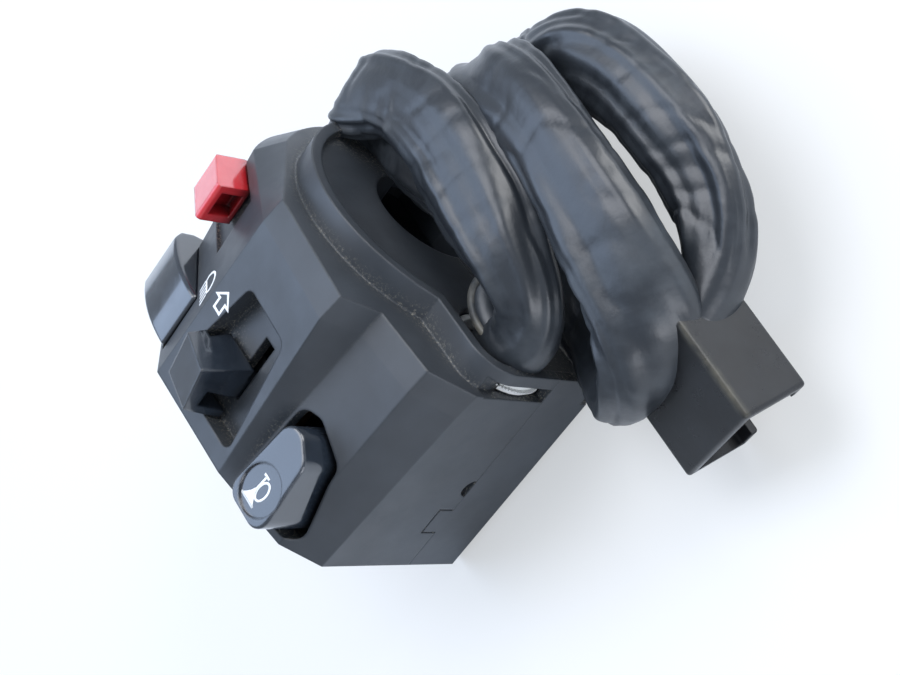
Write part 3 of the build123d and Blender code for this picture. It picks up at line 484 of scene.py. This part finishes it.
def sectionsAlong(settings, tangents, shares):  # the direction of the width, and width and thickness
    route, count = settings["route"], len(shares)
    sides, sizes = [], []
    for share in shares:
        low = min(int(share), len(route) - 2)
        blend = share - low
        sides.append(Vector(route[low][5:8]) * (1 - blend) + Vector(route[low + 1][5:8]) * blend)
        sizes.append([(route[low][k] * (1 - blend) + route[low + 1][k] * blend) * mm for k in (3, 4)])
    for sweep in range(settings["smoothing"]):
        smoother = []
        for i, raw in enumerate(sides):
            total = raw + sides[max(i - 1, 0)] + sides[min(i + 1, count - 1)]
            total -= total.dot(tangents[i]) * tangents[i]
            smoother.append(total.normalized())
        sides = smoother
        sizes = [[(sizes[max(i - 1, 0)][k] + sizes[i][k] + sizes[min(i + 1, count - 1)][k]) / 3
                  for k in (0, 1)] for i in range(count)]
    return sides, sizes


def vinylRelief(r, along, c, s, inner):
    def noiseOf(pitch, spread, shift, place):
        return noise.noise(Vector((along * pitch + shift, c * spread, s * spread + place)))

    dent = noiseOf(r["dentPitch"], r["dentSpread"], 0, r["dentPlace"]) * r["dentDepth"]
    ridge = noiseOf(r["ridgePitch"], r["ridgeSpread"], r["ridgePlace"], 0) * r["ridgeDepth"]
    slanted = along * r["foldPitch"] + c * r["foldSlant"]
    wave = noise.noise(Vector((slanted, c * r["foldSpread"] + r["foldPlace"], s * r["foldSpread"])))
    fold = (r["foldWidth"] - min(r["foldWidth"], abs(wave) * r["foldSharp"])) * r["foldDepth"] * \
        (r["foldFlat"] + r["foldInner"] * inner)
    return dent + ridge * r["wireDepth"] * r["wireGain"] + fold * r["creaseDepth"]


def makeSleeve(settings, r):
    line, shares = readRoute(settings)
    count, around = len(line), settings["around"]
    tangents = [(line[min(i + 1, count - 1)] - line[max(i - 1, 0)]).normalized() for i in range(count)]
    sides, sizes = sectionsAlong(settings, tangents, shares)
    travelled = [0.0]
    for i in range(1, count):
        travelled.append(travelled[-1] + (line[i] - line[i - 1]).length)
    flatWide, flatThick = settings["flatness"]
    vertices, uvs = [], []
    for i in range(count):
        first, last = max(i - settings["bendWindow"], 0), min(i + settings["bendWindow"], count - 1)
        bend = (tangents[last] - tangents[first]) / (travelled[last] - travelled[first])
        width, depth = sizes[i]
        side, normal = sides[i], tangents[i].cross(sides[i]).normalized()
        along, left = travelled[i] / mm, travelled[-1] / mm - travelled[i] / mm
        free = smoothStep(along, *settings["freeStart"]) * smoothStep(left, *settings["freeEnd"])
        for k in range(around):
            angle = 2 * math.pi * k / around
            c, s = math.cos(angle), math.sin(angle)
            outward = (side * c + normal * s).normalized()
            reach = side * (width / 2 * math.copysign(abs(c) ** flatWide, c)) + \
                normal * (depth / 2 * math.copysign(abs(s) ** flatThick, s))
            inner = min(1.0, max(0.0, outward.dot(bend)) / r["tightBend"])
            push = vinylRelief(r, along, c, s, inner) * free * mm * r["strength"]
            vertices.append(line[i] + reach + outward * push)
            uvs.append((travelled[i], k / around * settings["streakWidth"]))
    faces = []
    for i in range(count - 1):
        for k in range(around):
            after = (k + 1) % around
            faces.append((i * around + k, i * around + after, (i + 1) * around + after, (i + 1) * around + k))
    faces.append(tuple(range(around))[::-1])
    faces.append(tuple(range((count - 1) * around, count * around)))
    piece = newPiece("harnessSleeve", vertices, faces, sleeveVinyl)
    layer = piece.data.uv_layers.new(name="sleeveUV")
    for loop in piece.data.loops:
        layer.data[loop.index].uv = uvs[loop.vertex_index]
    work = bmesh.new()
    work.from_mesh(piece.data)
    bmesh.ops.recalc_face_normals(work, faces=work.faces)
    work.to_mesh(piece.data)
    work.free()
    settle(piece, "casing", "sleeve_vinyl", "harness_lead", "harness_coil", "harness_tail")
    print("sleeve length, mm:", round(travelled[-1] / mm, 1))


makeSleeve(sleeve, relief)

# pieces that follow a path or repeat along one, made with Geometry Nodes; lengths in mm, angles in degrees
pocketRim = {"steps": 60, "radius": 0.8, "flatten": 0.7, "path": [
    (14.5, -31.0, 12.5), (11.4, -28.0, 12.5), (9.6, -26.7, 12.5), (6.8, -26.0, 12.3), (4.5, -26.3, 12.0),
    (2.8, -28.2, 12.0), (1.8, -30.6, 12.0), (1.5, -33.7, 12.0), (1.9, -36.8, 12.0), (4.5, -39.5, 12.0)]}
pocketRoll = {"steps": 40, "radius": 2.7, "flatten": 1.0, "path": [
    (13.5, -28.5, 9.5), (10.4, -26.5, 9.5), (7.8, -26.2, 9.5), (5.6, -27.3, 9.5), (3.8, -29.4, 9.5),
    (2.7, -32.3, 9.5), (2.6, -35.7, 9.5), (5.0, -38.0, 9.5)]}
tieTeeth = {"count": 34, "height": 0.3, "across": 1.5, "thickness": 0.32, "centre": (-2.3, -34.2, 6.2),
            "radius": 8.75, "angles": range(112, 249, 8)}


def newTree(name, sockets):
    tree = bpy.data.node_groups.new(name, "GeometryNodeTree")
    tree.interface.new_socket("Geometry", in_out="INPUT", socket_type="NodeSocketGeometry")
    for label, kind in sockets:
        tree.interface.new_socket(label, in_out="INPUT", socket_type="NodeSocket" + kind)
    tree.interface.new_socket("Geometry", in_out="OUTPUT", socket_type="NodeSocketGeometry")
    return tree, tree.nodes.new("NodeGroupInput").outputs, tree.nodes.new("NodeGroupOutput")


def finishTree(tree, last, output, material):
    realized = addNode(tree, "GeometryNodeRealizeInstances", links={0: last})
    painted = addNode(tree, "GeometryNodeSetMaterial", {"Material": material},
                      {"Geometry": realized.outputs[0]})
    tree.links.new(painted.outputs[0], output.inputs[0])
    return tree


def sweepTree(material):  # a flattened round section swept along the path
    tree, given, output = newTree("sweep", [("Steps", "Int"), ("Radius", "Float"), ("Flatten", "Float")])
    path = addNode(tree, "GeometryNodeResampleCurve", links={"Curve": given["Geometry"],
                                                             "Count": given["Steps"]})
    ring = addNode(tree, "GeometryNodeCurvePrimitiveCircle", {"Resolution": 20}, {"Radius": given["Radius"]})
    shape = addNode(tree, "ShaderNodeCombineXYZ", {"X": 1.0, "Z": 1.0}, {"Y": given["Flatten"]})
    flat = addNode(tree, "GeometryNodeTransform", links={"Geometry": ring.outputs["Curve"],
                                                         "Scale": shape.outputs[0]})
    swept = addNode(tree, "GeometryNodeCurveToMesh", {"Fill Caps": True},
                    {"Curve": path.outputs[0], "Profile Curve": flat.outputs[0]})
    smooth = addNode(tree, "GeometryNodeSetShadeSmooth", links={0: swept.outputs[0]})
    return finishTree(tree, smooth.outputs[0], output, material)


def teethTree(material):  # small blocks spread evenly over the path
    tree, given, output = newTree("teeth", [("Count", "Int"), ("Size", "Vector")])
    places = addNode(tree, "GeometryNodeCurveToPoints", links={"Curve": given["Geometry"],
                                                               "Count": given["Count"]})
    tooth = addNode(tree, "GeometryNodeMeshCube", links={"Size": given["Size"]})
    row = addNode(tree, "GeometryNodeInstanceOnPoints",
                  links={"Points": places.outputs["Points"], "Instance": tooth.outputs["Mesh"],
                         "Rotation": places.outputs["Rotation"]})
    return finishTree(tree, row.outputs[0], output, material)


def pathPiece(name, points, tree, values, slotName):
    carrier = splineObject(name + "Path", points, 4)[0]
    modifier = carrier.modifiers.new("shape", "NODES")
    modifier.node_group = tree
    for item in tree.interface.items_tree:
        if item.in_out == "INPUT" and item.name in values:
            modifier[item.identifier] = values[item.name]
    mesh = evaluatedMesh(carrier)
    bpy.data.objects.remove(carrier)
    settle(newObject(name, mesh), "casing", slotName)


def makeTieTeeth(t):
    x, y, z = t["centre"]
    angles = [math.radians(angle) for angle in t["angles"]]
    path = [(x, y + t["radius"] * math.cos(a), z + t["radius"] * math.sin(a)) for a in angles]
    size = (t["height"] * mm, t["across"] * mm, t["thickness"] * mm)
    pathPiece("tieTeeth", path, teethTree(tieNylon), {"Count": t["count"], "Size": size}, "white_nylon")


for label, swept, vinyl in (("sleevePocketRim", pocketRim, scuffedEdge),
                            ("sleevePocketRoll", pocketRoll, sleeveVinyl)):
    pathPiece(label, swept["path"], sweepTree(vinyl),
              {"Steps": swept["steps"], "Radius": swept["radius"] * mm, "Flatten": swept["flatten"]},
              "sleeve_vinyl")
makeTieTeeth(tieTeeth)
print("path pieces made")

# pictograms, pad-printed in white: places in mm in the plane the rider looks at. First the surfaces that
# carry them, as the CAD has them: facets runs from the grip end, and each pair is a height and its rise
facets = {"length": 45.7, "run": 37.0, "crown": (33.4, -0.1), "brow": (33.0, 2.6), "radius": (30.0, 3.0),
          "angle": 43.5, "crownRise": 2.5, "browDrop": 22.2}
dish = {"x": -38.2, "height": 34.794, "slope": -0.14}
arrow = {"centre": (-24.9, -0.7), "length": 4.4, "span": 5.2, "head": 2.3, "shaft": 2.1, "line": 0.5,
         "tipTrim": 0.3, "cornerTrim": 0.4}
headlamp = {"centre": (-26.5, 6.7), "lens": (3.2, 4.0), "bulge": 0.9, "back": (-0.85, 0.0, 0.85),
            "front": (75, 55, 35, 12, -12, -35, -55, -75), "line": 0.5, "beams": 5, "beamSpread": 0.95,
            "beamStart": -28.4, "beamLength": 2.2, "beamDrop": 0.5, "beamLine": 0.42}
hornSign = {"mouth": -41.4, "tip": -35.9, "middle": -32.4, "mouthSpan": 4.0, "flare": 3.2, "neck": 0.22,
            "stations": (0.0, 0.08, 0.18, 0.32, 0.5, 0.75, 1.0), "loop": (-38.2, -33.75),
            "loopSize": (1.85, 1.15), "loopSteps": 20, "tipBar": 0.8, "line": 0.42}
ink = {"height": 0.05, "cell": 0.35, "cuts": 3, "weld": 0.001, "sharpestMitre": 0.45}


def facetHeight(x, y):
    share = (x + facets["length"]) / facets["run"]
    crown = facets["crown"][0] + share * facets["crown"][1]
    if y < facets["crownRise"]:
        brow = facets["brow"][0] + share * facets["brow"][1]
        return crown + (brow - crown) * (facets["crownRise"] - y) / (facets["crownRise"] + facets["browDrop"])
    radius = facets["radius"][0] + share * facets["radius"][1]
    angle = math.radians(facets["angle"])
    slope = (radius * math.sin(angle) - crown) / (radius * math.cos(angle) - facets["crownRise"])
    return crown + slope * (y - facets["crownRise"])


def dishHeight(x, y):
    return dish["height"] + dish["slope"] * (x - dish["x"])


def strokeFaces(points, width, closed=False):  # flat stroke round a line of x, y points
    count = len(points)
    corners, faces = [], []
    for i, point in enumerate(points):
        here = Vector(point)
        before = Vector(points[i - 1]) if closed or i else None
        after = Vector(points[(i + 1) % count]) if closed or i < count - 1 else None
        first = (here - before).normalized() if before is not None else (after - here).normalized()
        second = (after - here).normalized() if after is not None else first
        mitre = Vector((-(first + second).y, (first + second).x)).normalized()
        reach = width / 2 / max(ink["sharpestMitre"], mitre.dot(Vector((-first.y, first.x))))
        corners += [here + mitre * reach, here - mitre * reach]
    for i in range(count if closed else count - 1):
        j = (i + 1) % count
        faces.append((2 * i, 2 * i + 1, 2 * j + 1, 2 * j))
    return corners, faces


def inkPiece(name, shapes, height, body):  # thin ink, cut into small faces that follow the surface
    vertices, faces = [], []
    for corners, shapeFaces in shapes:
        start = len(vertices)
        vertices += [Vector((c[0], c[1], 0)) for c in corners]
        faces += [tuple(start + i for i in face) for face in shapeFaces]
    piece = newPiece(name, vertices, faces, padPaint)
    work = bmesh.new()
    work.from_mesh(piece.data)
    bmesh.ops.remove_doubles(work, verts=work.verts, dist=ink["weld"])
    for cut in range(ink["cuts"]):
        longEdges = [e for e in work.edges if e.calc_length() > ink["cell"]]
        bmesh.ops.subdivide_edges(work, edges=longEdges, cuts=1, use_grid_fill=True)
        bmesh.ops.triangulate(work, faces=[f for f in work.faces if len(f.verts) > 4])
    bmesh.ops.recalc_face_normals(work, faces=work.faces)
    if sum(f.normal.z for f in work.faces) < 0:
        bmesh.ops.reverse_faces(work, faces=work.faces)
    solid = bmesh.ops.extrude_face_region(work, geom=list(work.faces))
    raised = {v for v in solid["geom"] if isinstance(v, bmesh.types.BMVert)}
    for v in work.verts:
        z = height(v.co.x, v.co.y) + (ink["height"] if v in raised else -ink["height"])
        v.co = Vector((v.co.x * mm, v.co.y * mm, z * mm))
    bmesh.ops.recalc_face_normals(work, faces=work.faces)
    work.to_mesh(piece.data)
    work.free()
    settle(piece, body, "white_nylon")


def makeArrow(a):
    cx, cy = a["centre"]
    tip, tail = cx + a["length"] / 2, cx - a["length"] / 2
    neck, half = tip - a["head"], a["shaft"] / 2
    corner = a["span"] / 2 - a["cornerTrim"]
    outline = [(tip - a["tipTrim"], cy), (neck, cy + corner), (neck, cy + half), (tail, cy + half),
               (tail, cy - half), (neck, cy - half), (neck, cy - corner)]
    inkPiece("arrowSign", [strokeFaces(outline, a["line"], True)], facetHeight, "casing")


def makeHeadlamp(h):
    cx, cy = h["centre"]
    halfLength, halfWidth = h["lens"][0] / 2, h["lens"][1] / 2
    outline = [(cx - halfLength, cy + halfWidth * t) for t in h["back"]]
    outline += [(cx - halfLength + 2 * halfLength * math.cos(math.radians(t)) ** h["bulge"],
                 cy + halfWidth * math.sin(math.radians(t))) for t in h["front"]]
    shapes = [strokeFaces(outline, h["line"], True)]
    for i in range(h["beams"]):
        y = cy + halfWidth * h["beamSpread"] * (1 - 2 * i / (h["beams"] - 1))
        line = [(h["beamStart"], y), (h["beamStart"] - h["beamLength"], y - h["beamDrop"])]
        shapes.append(strokeFaces(line, h["beamLine"]))
    inkPiece("headlampSign", shapes, facetHeight, "casing")


def makeHornSign(h):
    middle, half = h["middle"], h["mouthSpan"] / 2
    length = h["tip"] - h["mouth"]
    upper = [(h["mouth"] + length * t, middle + max(h["neck"], half * (1 - t) ** h["flare"]))
             for t in h["stations"]]
    lower = [(x, 2 * middle - y) for x, y in upper]
    corners = [c for pair in zip(upper, lower) for c in pair]
    bell = (corners, [(2 * i, 2 * i + 1, 2 * i + 3, 2 * i + 2) for i in range(len(upper) - 1)])
    (loopX, loopY), (sizeX, sizeY), steps = h["loop"], h["loopSize"], h["loopSteps"]
    ring = [(loopX + sizeX * math.cos(math.tau * t / steps), loopY + sizeY * math.sin(math.tau * t / steps))
            for t in range(steps)]
    bar = [(h["tip"], middle + h["tipBar"]), (h["tip"], middle - h["tipBar"])]
    mouthLine = [(h["mouth"], middle + half), (h["mouth"], middle - half)]
    shapes = [bell, strokeFaces(ring, h["line"], True), strokeFaces(bar, h["line"]),
              strokeFaces(mouthLine, h["line"])]
    inkPiece("hornSign", shapes, dishHeight, "horn_push")


makeArrow(arrow)
makeHeadlamp(headlamp)
makeHornSign(hornSign)
print("pictograms made")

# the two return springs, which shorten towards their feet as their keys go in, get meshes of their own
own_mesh(nodes["horn_spring"])
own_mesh(nodes["dip_spring"])
